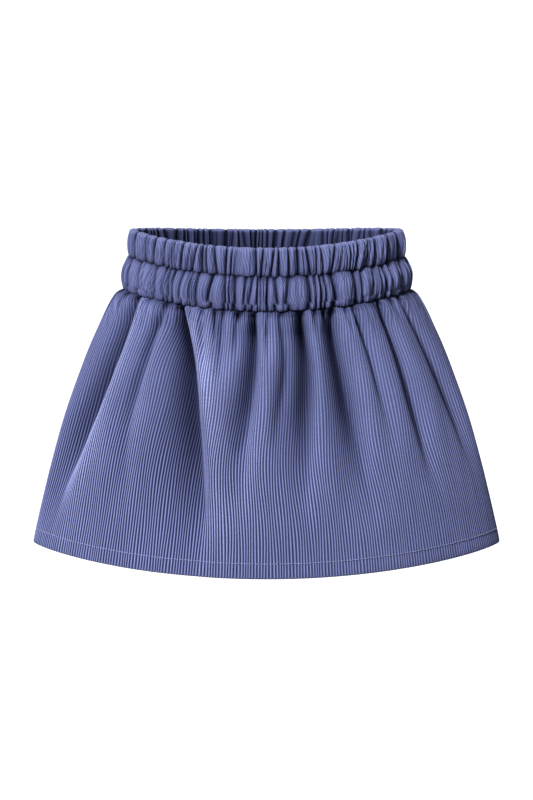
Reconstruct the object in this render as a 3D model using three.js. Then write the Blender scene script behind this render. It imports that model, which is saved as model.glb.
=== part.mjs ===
// Gathered corduroy skirt for a small child, filled out as if worn.
// Millimetres, +Z up, front towards -Y. The origin is the middle of the waist opening, level with the
// rim at the side seams. "Drop" is a distance down from there, measured at the side seams.

import * as THREE from 'three';

// Driving sizes
const HEM_DROP = 207;
const HEM_DEPTH = 12;
const CLOTH = 2.2;
const SEAM_GAP = 0.3;
const RIM_SAG = 6.2; // how far the rim curves down at the centre front and back
const HEM_SAG = 10.5;
const SIDE_POINT = 1.4; // roundness of the sides from above: 1 is an ellipse, 2 a pointed lens

// Waist casings: two channels of gathered cloth over hidden elastic
const CASING = {
  drop: 38, // height of both channels
  groove: 17.2, // drop of the stitching between the channels
  pinched: 2.0, // thickness where the stitching holds the layers together
  puff: 4.9, // how far its crests stand out from its valleys
  innerPuff: 2.9,
  stitchedShare: 0.36, // share of its height that a puff keeps at the stitching
  fullness: 0.42, // under 1 makes a channel swell fast beside its stitching
  rimFullness: 0.75, // the same, below the rim
  scallop: 0.9, // crests of the rim above its valleys
  lean: 0.01, // sideways lean of the upper channel's puffs, as a share of the half round
};

// Half width and depth-to-width ratio of the ring that holds the crests, by drop
const RING_COLUMNS = ['drop', 'halfWidth', 'ratio'];
const CASING_RINGS = table(RING_COLUMNS, [
  [0, 87.8, 0.655],
  [17.2, 88.4, 0.655],
  [26, 91.0, 0.655],
  [38, 91.8, 0.655],
]);
const SKIRT_RINGS = table(RING_COLUMNS, [
  [38, 92.8, 0.65],
  [42, 99.8, 0.645],
  [48, 103.4, 0.635],
  [56, 107.2, 0.62],
  [72, 114.4, 0.595],
  [88, 120.8, 0.575],
  [120, 132.2, 0.54],
  [152, 141.3, 0.515],
  [184, 149.2, 0.492],
  [207, 154.4, 0.48],
]);

// Long folds, left to right as seen from outside. The first four columns are each valley's place across
// the half (-1 left seam, 1 right seam) at these shares of the way from the waist seam to the hem.
const FOLD_LEVELS = [0, 0.2, 0.45, 0.75];
// depth: millimetres at its deepest; width: of the valley; skew: above 0 where its right wall is the
// gentler one; reach: share of the length where it ends;
// gathers: how many small gathers lie between this valley and the one before it, or the side seam
const FOLD_COLUMNS = ['top', 'high', 'middle', 'low', 'depth', 'width', 'skew', 'reach', 'gathers'];
const FRONT_FOLDS = table(FOLD_COLUMNS, [
  [-0.86, -0.86, -0.895, -0.93, 13.0, 7.5, -0.3, 1.0, 3],
  [-0.67, -0.69, -0.7, -0.64, 7.5, 5.5, 0, 0.85, 2],
  [-0.57, -0.45, -0.365, -0.29, 15.5, 10.0, -0.5, 1.08, 1],
  [-0.43, -0.36, -0.3, -0.24, 4.5, 4.5, 0, 0.3, 2],
  [-0.29, -0.26, -0.23, -0.2, 5.0, 5.0, 0, 0.34, 2],
  [-0.19, -0.18, -0.17, -0.15, 3.5, 4.5, 0, 0.22, 1],
  [-0.08, -0.065, -0.1, -0.12, 11.5, 7.5, -0.4, 0.86, 1],
  [0.01, 0.01, 0.01, 0.01, 3.5, 4.5, 0, 0.22, 1],
  [0.09, 0.11, 0.06, 0.05, 5.0, 5.5, 0, 0.68, 1],
  [0.23, 0.245, 0.21, 0.17, 12.5, 9.0, -0.4, 0.85, 1],
  [0.43, 0.445, 0.46, 0.47, 15.0, 10.5, -0.45, 0.88, 3],
  [0.57, 0.6, 0.615, 0.62, 6.5, 5.5, 0.2, 0.6, 2],
  [0.74, 0.75, 0.76, 0.77, 10.0, 6.5, 0.3, 0.84, 2],
  [0.88, 0.91, 0.94, 0.95, 9.5, 6.0, 0.3, 0.76, 2],
]);
const BACK_FOLDS = table(FOLD_COLUMNS, [
  [-0.88, -0.89, -0.91, -0.93, 9.5, 6.5, -0.3, 0.76, 3],
  [-0.72, -0.73, -0.75, -0.76, 10.0, 7.0, -0.3, 0.84, 2],
  [-0.58, -0.59, -0.6, -0.6, 5.5, 5.5, 0, 0.42, 1],
  [-0.44, -0.42, -0.4, -0.42, 13.5, 8.0, -0.35, 0.9, 2],
  [-0.29, -0.28, -0.27, -0.27, 5.0, 5.5, 0, 0.46, 2],
  [-0.15, -0.17, -0.19, -0.17, 9.5, 7.0, -0.3, 0.78, 2],
  [-0.06, -0.06, -0.05, -0.05, 4.0, 4.5, 0, 0.26, 1],
  [0.07, 0.06, 0.03, 0.05, 12.0, 7.5, 0.3, 0.86, 1],
  [0.19, 0.2, 0.2, 0.2, 5.0, 5.5, 0, 0.36, 2],
  [0.34, 0.33, 0.3, 0.27, 12.5, 8.0, -0.3, 0.92, 2],
  [0.48, 0.49, 0.5, 0.5, 6.0, 5.5, 0, 0.44, 2],
  [0.63, 0.62, 0.6, 0.63, 12.0, 7.5, 0.35, 0.84, 2],
  [0.77, 0.78, 0.79, 0.8, 5.5, 5.5, 0, 0.46, 1],
  [0.89, 0.91, 0.93, 0.94, 9.5, 6.0, 0.3, 0.76, 1],
]);
const LAST_GATHERS = 3; // between the last valley and the right side seam
const GATHER_DEPTH = 4.3; // small gathers, just under the waist seam
const GATHER_LENGTH = 17; // drop over which they run out into the long folds
const GATHER_ROUNDNESS = 0.8; // under 1 gives round crests and narrow valleys
const SEAM_HELD = 0.15; // share of their depth that folds and gathers have in the waist seam
const SEAM_OPENING = 5; // drop under the seam over which they open
const FOLD_START = 0.35; // share of a fold's depth that it has at the waist seam
const FOLD_GROWTH = 0.1; // share of the length over which it reaches its full depth
const FOLD_NARROW = 0.45; // width of a valley at the waist seam, as a share of its width in the table
const FOLD_WIDE = 1.6; // the same, in the lower half of the skirt
const WIDENING = [-0.2, 0.7]; // shares of the length between which the valleys widen
const SIDE_CALM = 0.035; // share of the half round, beside each side seam, where the folds die out

// Mesh rows, as drops
const PANEL_GATHER_ROWS = [43, 49, 57, 66];
const PANEL_FOLD_ROWS = [78, 92, 108, 126, 146, 170];
const HEM_STEP = 0.8;
const CASING_OUTER_ROWS = [1.2, 5, 11, 15.4, 17.2, 19.2, 24.5, 31, 36];
const CASING_INNER_ROWS = [2, 8.5, 17.2, 27, 35];
const COLUMNS_A_GATHER = 4;
const RING_STEPS = 720;

function table(columns, rows) {
  return rows.map((row) => Object.fromEntries(columns.map((name, i) => [name, row[i]])));
}

// A smooth curve through the points (knots[i], values[i]), held level past both ends
function curveThrough(knots, values, at) {
  const last = knots.length - 1;
  if (at <= knots[0]) return values[0];
  if (at >= knots[last]) return values[last];
  const i = knots.findIndex((knot) => knot > at) - 1;
  const slope = (k) => {
    const before = Math.max(k - 1, 0);
    const after = Math.min(k + 1, last);
    return (values[after] - values[before]) / (knots[after] - knots[before]);
  };
  const span = knots[i + 1] - knots[i];
  const t = (at - knots[i]) / span;
  const rest = 1 - t;
  const ends = values[i] * rest * rest * (1 + 2 * t) + values[i + 1] * t * t * (3 - 2 * t);
  return ends + span * t * rest * (slope(i) * rest - slope(i + 1) * t);
}

// Straight lines between the points (knots[i], values[i])
function linesThrough(knots, values, at) {
  const last = knots.length - 1;
  const next = THREE.MathUtils.clamp(knots.findIndex((knot) => knot > at), 1, last);
  const i = (at >= knots[last] ? last : next) - 1;
  const t = THREE.MathUtils.clamp((at - knots[i]) / (knots[i + 1] - knots[i]), 0, 1);
  return THREE.MathUtils.lerp(values[i], values[i + 1], t);
}

// Half a ring at one drop, from the left side seam round the front to the right one
class HalfRing {
  constructor(rings, drop) {
    const drops = rings.map((row) => row.drop);
    this.drop = drop;
    this.halfWidth = curveThrough(drops, rings.map((row) => row.halfWidth), drop);
    this.halfDepth = this.halfWidth * curveThrough(drops, rings.map((row) => row.ratio), drop);
    this.across = [];
    this.share = [];
    let length = 0;
    let before = this.point(-1);
    for (let step = 0; step <= RING_STEPS; step += 1) {
      const across = Math.sin(Math.PI * (step / RING_STEPS - 0.5));
      const point = this.point(across);
      length += point.distanceTo(before);
      this.across.push(across);
      this.share.push(length);
      before = point;
    }
    this.length = length;
    this.share = this.share.map((value) => value / length);
  }

  point(across) {
    const rise = Math.max(1 - across * across, 0);
    return new THREE.Vector2(across * this.halfWidth, -this.halfDepth * rise ** (SIDE_POINT / 2));
  }

  shareAt(across) {
    return linesThrough(this.across, this.share, across);
  }

  // The point a given share of the way round, moved out of the ring by some millimetres
  place(share, out, lift = 0) {
    const across = linesThrough(this.share, this.across, share);
    const nudge = 1e-3;
    const left = this.point(Math.max(across - nudge, -1));
    const right = this.point(Math.min(across + nudge, 1));
    const along = right.sub(left).normalize();
    if (share <= 0) along.set(0, -1);
    if (share >= 1) along.set(0, 1);
    const point = this.point(across);
    const sag = THREE.MathUtils.lerp(RIM_SAG, HEM_SAG, this.drop / HEM_DROP) * (1 - across * across);
    return new THREE.Vector3(
      point.x + along.y * out,
      point.y - along.x * out - SEAM_GAP / 2,
      lift - this.drop - sag,
    );
  }
}

// Shares of the way round at which the gathers' valleys lie, and the gathers counted up to each
function gatherKnots(folds, ring, level) {
  const shares = [0];
  const counts = [0];
  for (const fold of folds) {
    const places = [fold.top, fold.high, fold.middle, fold.low];
    shares.push(ring.shareAt(curveThrough(FOLD_LEVELS, places, level)));
    counts.push(counts[counts.length - 1] + fold.gathers);
  }
  shares.push(1);
  counts.push(counts[counts.length - 1] + LAST_GATHERS);
  return { shares, counts };
}

// 0 in a gather's valley, 1 on its crest
function gatherWave(gather) {
  return Math.abs(Math.sin(Math.PI * gather)) ** GATHER_ROUNDNESS;
}

// How far the cloth lies inside the ring of crests
function foldDepth(folds, knots, ring, share, level) {
  const fromSide = Math.min(share, 1 - share);
  const calm = THREE.MathUtils.smoothstep(fromSide, 0, SIDE_CALM);
  const growth = THREE.MathUtils.lerp(FOLD_START, 1, THREE.MathUtils.smoothstep(level, 0, FOLD_GROWTH));
  const spread = THREE.MathUtils.smoothstep(level, WIDENING[0], WIDENING[1]);
  let depth = 0;
  folds.forEach((fold, i) => {
    const distance = (share - knots.shares[i + 1]) * ring.length;
    const width = fold.width * THREE.MathUtils.lerp(FOLD_NARROW, FOLD_WIDE, spread);
    const side = 1 + fold.skew * Math.sign(distance);
    const valley = 1 / (1 + (distance / (width * side)) ** 2) ** 2;
    const fading = 1 - THREE.MathUtils.smoothstep(level, fold.reach * 0.4, fold.reach);
    depth += fold.depth * valley * growth * fading * calm;
  });
  return depth;
}

// One row of a skirt panel, its outer face moved inwards by an inset
function panelRow(folds, drop, inset, columnsAGather) {
  const ring = new HalfRing(SKIRT_RINGS, drop);
  const level = (drop - CASING.drop) / (HEM_DROP - CASING.drop);
  const knots = gatherKnots(folds, ring, level);
  const gathers = knots.counts[knots.counts.length - 1];
  const fallen = drop - CASING.drop;
  const gatherDepth = GATHER_DEPTH * Math.exp(-((fallen / GATHER_LENGTH) ** 2));
  const opening = THREE.MathUtils.lerp(SEAM_HELD, 1, THREE.MathUtils.smoothstep(fallen, 0, SEAM_OPENING));
  const row = [];
  for (let column = 0; column <= gathers * columnsAGather; column += 1) {
    const gather = column / columnsAGather;
    const share = linesThrough(knots.counts, knots.shares, gather);
    const folded = foldDepth(folds, knots, ring, share, level);
    const gathered = gatherDepth * (1 - gatherWave(gather));
    row.push(ring.place(share, -opening * (folded + gathered) - inset));
  }
  return row;
}

// The wall is a loop of rows: down the outer face, round the hem and up the inner face
function panelRows(folds) {
  const top = CASING.drop + SEAM_GAP;
  const hemTop = HEM_DROP - HEM_DEPTH;
  const sections = [
    ...[top, ...PANEL_GATHER_ROWS].map((drop) => [drop, CLOTH, COLUMNS_A_GATHER]),
    ...[...PANEL_FOLD_ROWS, hemTop].map((drop) => [drop, CLOTH, COLUMNS_A_GATHER / 2]),
    ...[hemTop + HEM_STEP, HEM_DROP].map((drop) => [drop, 2 * CLOTH, COLUMNS_A_GATHER / 2]),
  ];
  return {
    outer: sections.map(([drop, , columns]) => panelRow(folds, drop, 0, columns)),
    inner: sections.map(([drop, wall, columns]) => panelRow(folds, drop, wall, columns)),
  };
}

// 0 where a channel is stitched and 1 at its middle
function channelSwell(drop) {
  const start = drop < CASING.groove ? 0 : CASING.groove;
  const end = drop < CASING.groove ? CASING.groove : CASING.drop;
  const fullness = drop < CASING.groove / 2 ? CASING.rimFullness : CASING.fullness;
  return Math.sin(Math.PI * THREE.MathUtils.clamp((drop - start) / (end - start), 0, 1)) ** fullness;
}

// One row of a casing. side is 1 on the outer face, -1 on the inner face and 0 along the rim's top.
function casingRow(folds, drop, side) {
  const ring = new HalfRing(CASING_RINGS, drop);
  const knots = gatherKnots(folds, ring, 0);
  const gathers = knots.counts[knots.counts.length - 1];
  const height = THREE.MathUtils.lerp(CASING.stitchedShare, 1, channelSwell(drop));
  const aboveGroove = Math.max(1 - drop / CASING.groove, 0);
  const row = [];
  for (let column = 0; column <= gathers * COLUMNS_A_GATHER; column += 1) {
    const gather = column / COLUMNS_A_GATHER;
    const wave = gatherWave(gather);
    const calm = Math.sin((Math.PI * gather) / gathers);
    const lean = CASING.lean * aboveGroove * calm * Math.sin(gather * 1.3);
    const share = linesThrough(knots.counts, knots.shares, gather) + lean;
    const puff = side > 0 ? CASING.puff : CASING.innerPuff;
    const out = puff * height * wave;
    const inset = (CASING.pinched * (1 - side)) / 2;
    const lift = CASING.scallop * wave * (1 - Math.min(drop / CASING.groove, 1));
    row.push(ring.place(share, side * out - inset, lift));
  }
  return row;
}

function casingRows(folds) {
  const outer = [...CASING_OUTER_ROWS, CASING.drop].map((drop) => casingRow(folds, drop, 1));
  const inner = [...CASING_INNER_ROWS, CASING.drop].map((drop) => casingRow(folds, drop, -1));
  const rim = casingRow(folds, 0, 0);
  return { outer: [rim, ...outer], inner };
}

// Triangles between two rows that run the same way, where one may have twice as many steps
function joinRows(upper, lower, add) {
  const upperSteps = upper.length - 1;
  const lowerSteps = lower.length - 1;
  for (let i = 0; i < Math.min(upperSteps, lowerSteps); i += 1) {
    if (upperSteps === lowerSteps) {
      add(upper[i], lower[i], lower[i + 1]);
      add(upper[i], lower[i + 1], upper[i + 1]);
    } else if (upperSteps > lowerSteps) {
      add(upper[2 * i], lower[i], upper[2 * i + 1]);
      add(upper[2 * i + 1], lower[i], lower[i + 1]);
      add(upper[2 * i + 1], lower[i + 1], upper[2 * i + 2]);
    } else {
      add(upper[i], lower[2 * i], lower[2 * i + 1]);
      add(upper[i], lower[2 * i + 1], upper[i + 1]);
      add(upper[i + 1], lower[2 * i + 1], lower[2 * i + 2]);
    }
  }
}

// Triangles across the wall where it ends at a side seam, between its outer and inner edges
function closeEnd(outer, inner, add) {
  let i = 0;
  let j = 0;
  while (i < outer.length - 1 || j < inner.length - 1) {
    const outerNext = i < outer.length - 1 ? outer[i + 1].z : -Infinity;
    const innerNext = j < inner.length - 1 ? inner[j + 1].z : -Infinity;
    if (outerNext >= innerNext) {
      add(outer[i], inner[j], outer[i + 1]);
      i += 1;
    } else {
      add(outer[i], inner[j], inner[j + 1]);
      j += 1;
    }
  }
}

function wallGeometry({ outer, inner }) {
  const positions = [];
  const add = (a, b, c) => positions.push(...a.toArray(), ...b.toArray(), ...c.toArray());
  const loop = [...outer, ...[...inner].reverse()];
  loop.forEach((row, i) => joinRows(row, loop[(i + 1) % loop.length], add));
  closeEnd(outer.map((row) => row[0]), inner.map((row) => row[0]), add);
  const addTurned = (a, b, c) => add(a, c, b);
  closeEnd(outer.map((row) => row[row.length - 1]), inner.map((row) => row[row.length - 1]), addTurned);
  const geometry = new THREE.BufferGeometry();
  geometry.setAttribute('position', new THREE.Float32BufferAttribute(positions, 3));
  geometry.computeVertexNormals();
  return geometry;
}

const corduroy = { color: 0x6a72a8, roughness: 0.92, metalness: 0 };

// The back halves are built as fronts and turned half round
function addPiece(parent, name, rows, turn) {
  const piece = new THREE.Mesh(wallGeometry(rows), new THREE.MeshStandardMaterial(corduroy));
  piece.name = name;
  piece.rotation.z = turn;
  parent.add(piece);
}

const skirt = new THREE.Group();
addPiece(skirt, 'waistband_front', casingRows(FRONT_FOLDS), 0);
addPiece(skirt, 'waistband_back', casingRows(BACK_FOLDS), Math.PI);
addPiece(skirt, 'front_panel', panelRows(FRONT_FOLDS), 0);
addPiece(skirt, 'back_panel', panelRows(BACK_FOLDS), Math.PI);

export default skirt;
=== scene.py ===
"""A child's gathered corduroy skirt, filled out and hollow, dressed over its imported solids.

The file is laid out as an add-on: sizes and colours are property groups, each group of pieces has
an operator, and a sidebar panel lists them. Run as a script, main() makes every piece in order.
"""

import math
from collections import namedtuple
from functools import partial

import bpy
import numpy as np
from bpy.props import FloatProperty, FloatVectorProperty, IntProperty, PointerProperty
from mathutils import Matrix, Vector


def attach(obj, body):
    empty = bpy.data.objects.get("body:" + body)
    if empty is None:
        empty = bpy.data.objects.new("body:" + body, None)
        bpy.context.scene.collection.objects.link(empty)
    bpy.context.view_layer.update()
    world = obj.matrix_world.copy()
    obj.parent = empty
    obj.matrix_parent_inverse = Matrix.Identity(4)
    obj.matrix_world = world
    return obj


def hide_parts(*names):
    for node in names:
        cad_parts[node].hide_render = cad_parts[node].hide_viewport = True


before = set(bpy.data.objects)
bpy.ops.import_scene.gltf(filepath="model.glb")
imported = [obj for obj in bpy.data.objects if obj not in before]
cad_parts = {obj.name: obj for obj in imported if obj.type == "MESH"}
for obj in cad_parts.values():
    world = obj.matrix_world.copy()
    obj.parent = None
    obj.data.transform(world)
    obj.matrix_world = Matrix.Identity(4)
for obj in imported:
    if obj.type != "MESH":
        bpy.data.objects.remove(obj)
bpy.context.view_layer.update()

bl_info = {
    "name": "Gathered corduroy skirt",
    "version": (1, 0, 0),
    "blender": (4, 5, 0),
    "location": "3D View > Sidebar > Skirt",
    "description": "Makes a child's corduroy skirt with a gathered elastic waistband",
    "category": "Object",
}

MM = 0.001

# The skirt's form, in millimetres. Drop is measured down the side seams from the waistband's rim.
HEM_DROP = 207.0
RIM_SAG = 6.2  # how far the rim curves down at the centre front and back
HEM_SAG = 10.5
SIDE_POINT = 1.4  # roundness of the sides from above: 1 is an ellipse, 2 a pointed lens
BAND_DROP = 38.0
GROOVE_DROP = 17.2


def table(columns, rows):
    """Rows of numbers as records with named columns."""
    record = namedtuple("record", columns)
    return [record(*row) for row in rows]


# Half width of the ring that holds the crests, and its depth as a share of its width
RING_COLUMNS = "drop half_width ratio"
BAND_RINGS = table(RING_COLUMNS, [
    (0, 87.8, 0.655),
    (17.2, 88.4, 0.655),
    (26, 91.0, 0.655),
    (38, 91.8, 0.655),
])
SKIRT_RINGS = table(RING_COLUMNS, [
    (38, 95.5, 0.65),
    (42, 99.8, 0.645),
    (48, 103.4, 0.635),
    (56, 107.2, 0.62),
    (72, 114.4, 0.595),
    (88, 120.8, 0.575),
    (120, 132.2, 0.54),
    (152, 141.3, 0.515),
    (184, 149.2, 0.492),
    (207, 154.4, 0.48),
])

# Long folds, left to right as seen from outside. The first four columns are a valley's place across
# the half (-1 left seam, 1 right seam) at FOLD_LEVELS, shares of the way from waist seam to hem.
# Skew is above 0 where a valley's right wall is the gentler one.
# Gathers counts the small gathers between this valley and the one before it, or the side seam.
FOLD_LEVELS = (0, 0.2, 0.45, 0.75)
FOLD_COLUMNS = "top high middle low depth width skew reach gathers"
FRONT_FOLDS = table(FOLD_COLUMNS, [
    (-0.86, -0.86, -0.895, -0.93, 13.0, 7.5, -0.3, 1.0, 3),
    (-0.67, -0.69, -0.7, -0.64, 7.5, 5.5, 0, 0.85, 2),
    (-0.57, -0.45, -0.365, -0.29, 15.5, 10.0, -0.5, 1.08, 1),
    (-0.43, -0.36, -0.3, -0.24, 4.5, 4.5, 0, 0.3, 2),
    (-0.29, -0.26, -0.23, -0.2, 5.0, 5.0, 0, 0.34, 2),
    (-0.19, -0.18, -0.17, -0.15, 3.5, 4.5, 0, 0.22, 1),
    (-0.08, -0.065, -0.1, -0.12, 11.5, 7.5, -0.4, 0.86, 1),
    (0.01, 0.01, 0.01, 0.01, 3.5, 4.5, 0, 0.22, 1),
    (0.09, 0.11, 0.06, 0.05, 5.0, 5.5, 0, 0.68, 1),
    (0.23, 0.245, 0.21, 0.17, 12.5, 9.0, -0.4, 0.85, 1),
    (0.43, 0.445, 0.46, 0.47, 15.0, 10.5, -0.45, 0.88, 3),
    (0.57, 0.6, 0.615, 0.62, 6.5, 5.5, 0.2, 0.6, 2),
    (0.74, 0.75, 0.76, 0.77, 10.0, 6.5, 0.3, 0.84, 2),
    (0.88, 0.91, 0.94, 0.95, 9.5, 6.0, 0.3, 0.76, 2),
])
BACK_FOLDS = table(FOLD_COLUMNS, [
    (-0.88, -0.89, -0.91, -0.93, 9.5, 6.5, -0.3, 0.76, 3),
    (-0.72, -0.73, -0.75, -0.76, 10.0, 7.0, -0.3, 0.84, 2),
    (-0.58, -0.59, -0.6, -0.6, 5.5, 5.5, 0, 0.42, 1),
    (-0.44, -0.42, -0.4, -0.42, 13.5, 8.0, -0.35, 0.9, 2),
    (-0.29, -0.28, -0.27, -0.27, 5.0, 5.5, 0, 0.46, 2),
    (-0.15, -0.17, -0.19, -0.17, 9.5, 7.0, -0.3, 0.78, 2),
    (-0.06, -0.06, -0.05, -0.05, 4.0, 4.5, 0, 0.26, 1),
    (0.07, 0.06, 0.03, 0.05, 12.0, 7.5, 0.3, 0.86, 1),
    (0.19, 0.2, 0.2, 0.2, 5.0, 5.5, 0, 0.36, 2),
    (0.34, 0.33, 0.3, 0.27, 12.5, 8.0, -0.3, 0.92, 2),
    (0.48, 0.49, 0.5, 0.5, 6.0, 5.5, 0, 0.44, 2),
    (0.63, 0.62, 0.6, 0.63, 12.0, 7.5, 0.35, 0.84, 2),
    (0.77, 0.78, 0.79, 0.8, 5.5, 5.5, 0, 0.46, 1),
    (0.89, 0.91, 0.93, 0.94, 9.5, 6.0, 0.3, 0.76, 1),
])
LAST_GATHERS = 3
FOLD_START = 0.35  # share of its depth that a fold has at the waist seam
FOLD_GROWTH = 0.1  # share of the length over which it reaches its full depth
FOLD_NARROW = 0.45  # width of a valley at the waist seam, as a share of its width in the table
FOLD_WIDE = 1.6  # the same, in the lower half of the skirt
FOLD_WIDENING = (-0.2, 0.7)  # levels between which it widens
FOLD_FADING = (0.4, 1.0)  # shares of its reach between which a valley runs out
SHINE_FADING = (0.45, 1.12)  # the same, for the shine on its right wall
SIDE_CALM = 0.035  # share of the half round, beside a side seam, where the folds die out

# Shallow slanting unevenness of the panels
WRINKLE_HEIGHT = 2.6
WRINKLE_WAVES = (5, 8, 13, 19)  # numbers of waves across the half, each lower than the one before
WRINKLE_SLANT = 1.6  # waves by which they may slant between the waist seam and the hem
WRINKLE_CALM = 0.06  # share of the half round, beside a side seam, where they die out
WRINKLE_START = (0.0, 0.25)  # levels between which they rise
WRINKLE_END = (0.5, 0.9)  # and between which they run out

# Small slanting wrinkles where the cloth is bunched
CRUMPLES = 7
CRUMPLE_WAVES = (38, 120)  # fewest and most waves across the half
CRUMPLE_DROP = 16.0  # drop in which the steepest one slants by a wave
CRUMPLE_CALM = 0.03

# Small gathers under the waist seam
GATHER_DEPTH = 5.4
GATHER_LENGTH = 17.0  # drop over which they run out into the long folds
GATHER_SPREAD = 0.75  # how unlike one another the gathers' widths are
GATHER_ROUNDNESS = 0.6  # under 1 gives round crests and narrow valleys
GATHER_BOTTOM = 0.09  # softness of a valley's floor
WIDTH_CONTRAST = 1.4  # above 1 makes wide gathers wider and narrow ones narrower
PANEL_CRUMPLE = 0.45  # height of the small wrinkles among the gathers
SEAM_TUCK = 3.0  # how far the cloth turns in at the waist seam
SEAM_TUCK_LENGTH = 1.4  # drop over which it does
SEAM_HELD = 0.15  # share of their depth that folds and gathers have in the waist seam
SEAM_OPENING = 5.0  # how far under the seam they are fully open
SEWN_IN = 1.5  # how far a panel's top edge runs up into the casing

# Ribs of the corduroy
RIB_PATH_STEP = 2.0  # drop between the places where a panel's ribs are laid out
RIB_PATH_EASING = 40  # rounds of smoothing that keep the ribs running straight down into the folds
BAND_PATH_EASING = 14  # the same, on the waistband
RIB_STRENGTH_TOP = 0.45  # how strongly the ribs stand out where the cloth is gathered
RIB_STRENGTH_BAND = 0.12
RIB_STRENGTH_LEFT = 1.15  # the ribs stand out less towards the right side seam
RIB_STRENGTH_RIGHT = 0.6
RIB_WEAKENING = (0.15, 0.95)  # shares of the half round between which they do
RIB_STRENGTH_HEM = 0.4  # share of their height left on the hem's fold
RIB_GATHERED = (0.2, 0.7)  # levels between which they grow to their full strength
HEM_FOLD_LENGTH = 1.5  # drop over which they flatten towards the hem's fold
RIB_WANDER = 0.0008  # how far the ribs stray sideways, as a share of the half round
RIB_CALM = 0.05  # share of the half round, beside a side seam, where they run straight
RIB_STRAYS = ((7, 1.3, 0.4), (17, -1.9, 2.0), (31, 2.6, 4.1))  # waves, slant and turn of each sway

# Painted shade and painted highlight, worked into the cloth's colour: 1 is a dark hollow of painted shade,
# and under 0 is a painted shine
FOLD_SHADE = 0.06  # for a millimetre of a long fold's depth
FOLD_PALING = 0.35  # share of that lost at the hem
GATHER_SHADE = 0.25  # for a millimetre of a small gather's
SEAM_SHADE = 0.6  # just under the waistband
SEAM_SHADE_LENGTH = 3.2
WALL_LIGHT_WIDTH = 1.5  # width over which a long fold's walls take painted highlight and painted shade, as a share of the fold's own
WALL_SHINE = 0.52  # painted highlight for a millimetre of light side on a valley's right wall, which faces the light
WALL_SHADE = 0.045  # painted shade for the same on its left wall, turned away from the light
WALL_SHINE_DULLING = 0.85  # share of the painted highlight lost towards the right side seam
WALL_SHINE_DULLED = (0.25, 0.75)  # shares of the half round between which it is lost
MOST_SHINE = 2.5  # limit on the painted highlight, which also adds to the worn pile colour
INSIDE_SHADE = 0.6  # inside the waistband
VALLEY_SHADE = 1.35  # between its puffs
VALLEY_NARROWING = 1.8  # above 1 keeps that shade to the deep part of a valley
STITCHED_SHADE = 1.1  # where its channels are stitched
RIM_SHINE = 1.6  # painted highlight: how much paler the puffs are on its rim
PAINTED_SHADE_TINT = (0.02, 0.028, 0.07, 1.0)  # what painted shade in a hollow leaves of the cloth's colour

# Waist casings over hidden elastic
PINCHED = 2.0  # thickness of the casing in its valleys
OUTER_PUFF = 5.5  # how far a full puff stands out of its valleys
INNER_PUFF = 3.4
STITCHED_SHARE = 0.36  # share of its height that a puff keeps at the stitching
SWELL_FULLNESS = 0.42  # under 1 makes a channel swell fast beside its stitching
RIM_FULLNESS = 0.75  # the same, below the rim
RIM_SCALLOP = 1.0  # how far the puffs lift the rim
RIM_RADIUS = 1.2
PUFFS = 30  # in each channel of each half
PUFF_SPREAD = 0.6  # how unlike one another the puffs' widths are
PUFF_ROUNDNESS = 0.5  # this and the next mean what they do for the gathers
PUFF_BOTTOM = 0.07
GROOVE_JAG = 1.2  # how far a puff's end bulges over the stitching
GROOVE_JAG_LENGTH = 2.6
GROOVE_HALF = 0.5  # half the drop over which one channel's puffs give way to the other's
CREASE_WIDTH = 0.085  # of a small crease down a puff, as a share of the puff's width
BAND_CRUMPLE = 0.35  # height of the small wrinkles on the puffs

# Mesh of the cloth
STEPS_A_WALE = 4
WALE_PROFILE = np.array([0.0, 0.58, 1.0, 0.58])  # height of a rib at each of its steps
INNER_STEP = 4  # inner columns are this many times wider
RING_STEPS = 900  # of a smooth ring
OUTLINE_STEPS = 3600  # of its folded outline, along which the ribs are laid out
FIRST_STEP = 0.8  # between a panel's rows under the seam
STEP_GROWTH = 1.05  # from one row to the next
LAST_STEP = 3.6
TURNED_UP_ROWS = 4
CASING_ROWS = (15, 17)  # of the upper and the lower channel
SIDE_TURN = 0.7  # how far the cloth turns in beside a side seam
SIDE_TURN_LENGTH = 1.2


def smooth(low, high, value):
    """0 below low and 1 above high, with a soft step between."""
    t = np.clip((value - low) / (high - low), 0, 1)
    return t * t * (3 - 2 * t)


def bell(distance, width):
    """1 at no distance, falling softly towards 0 past the width."""
    return np.exp(-(distance / width) ** 2)


def side_calm(share, width):
    """0 at the side seams and 1 past a width from them, in shares of the half round."""
    return smooth(0, width, np.minimum(share, 1 - share))


def curve_through(knots, values, at):
    """A smooth curve through the points (knots, values), held level past both ends."""
    knots = np.asarray(knots, float)
    values = np.asarray(values, float)
    last = len(knots) - 1
    before = np.maximum(np.arange(last + 1) - 1, 0)
    after = np.minimum(np.arange(last + 1) + 1, last)
    slopes = (values[after] - values[before]) / (knots[after] - knots[before])
    i = np.clip(np.searchsorted(knots, at, side="right") - 1, 0, last - 1)
    span = knots[i + 1] - knots[i]
    t = np.clip((at - knots[i]) / span, 0, 1)
    rest = 1 - t
    ends = values[i] * rest * rest * (1 + 2 * t) + values[i + 1] * t * t * (3 - 2 * t)
    return ends + span * t * rest * (slopes[i] * rest - slopes[i + 1] * t)


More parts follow.
